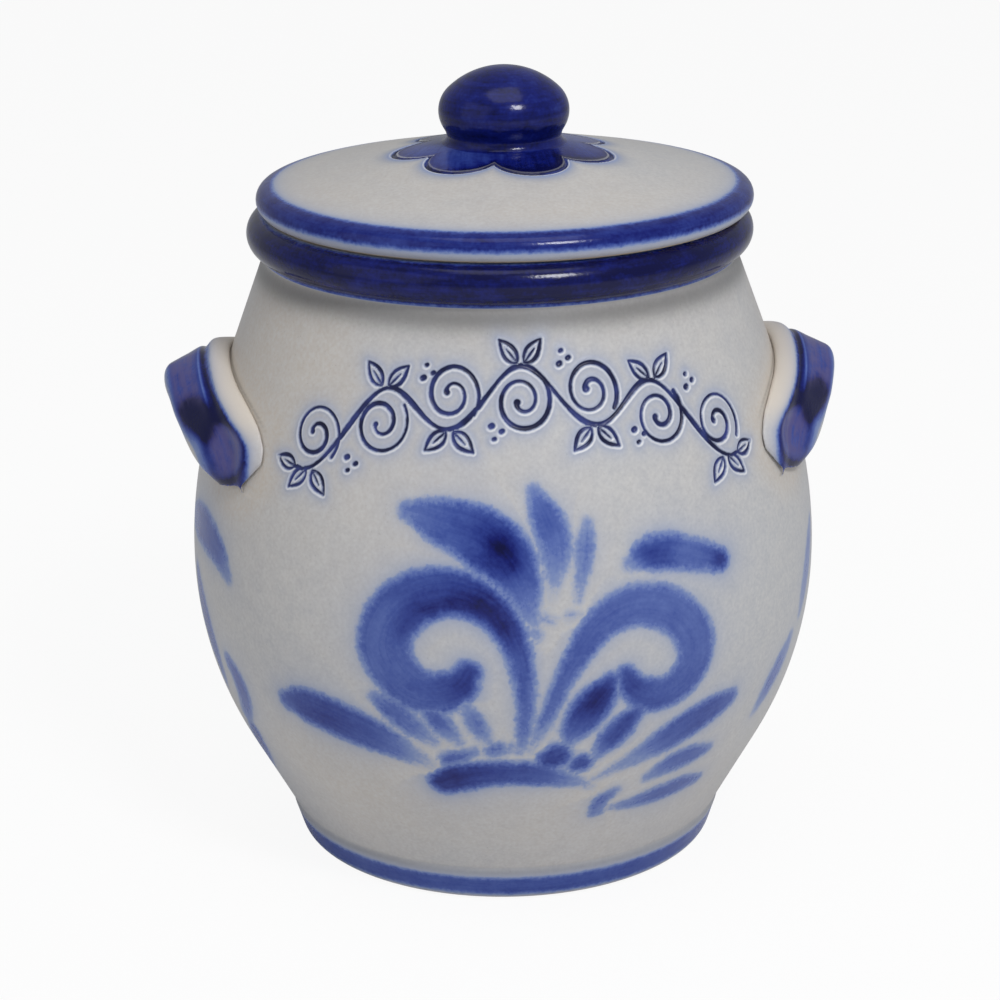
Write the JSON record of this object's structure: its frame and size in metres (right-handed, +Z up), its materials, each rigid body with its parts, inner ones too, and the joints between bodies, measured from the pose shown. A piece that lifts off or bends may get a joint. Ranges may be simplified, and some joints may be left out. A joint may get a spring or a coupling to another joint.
{
  "type": "rumtopf",
  "caption": "Lidded salt-glazed stoneware crock with two lug handles, a knobbed lid and cobalt blue decoration, for steeping fruit in rum.",
  "frame": {"origin": "middle of the flat base, on the surface the crock stands on", "axes": "+Z up; the handles are at -X and +X; the decorated front faces -Y"},
  "size_m": [0.234, 0.22, 0.2762],
  "materials": {
    "jar_glaze": "grey salt glaze over stoneware with painted cobalt blue, unglazed underneath",
    "lid_glaze": "grey salt glaze over stoneware with a cobalt blue edge and knob flower"
  },
  "bodies": {
    "root": {"jar": "jar_glaze", "lid": "lid_glaze"}
  },
  "joints": []
}
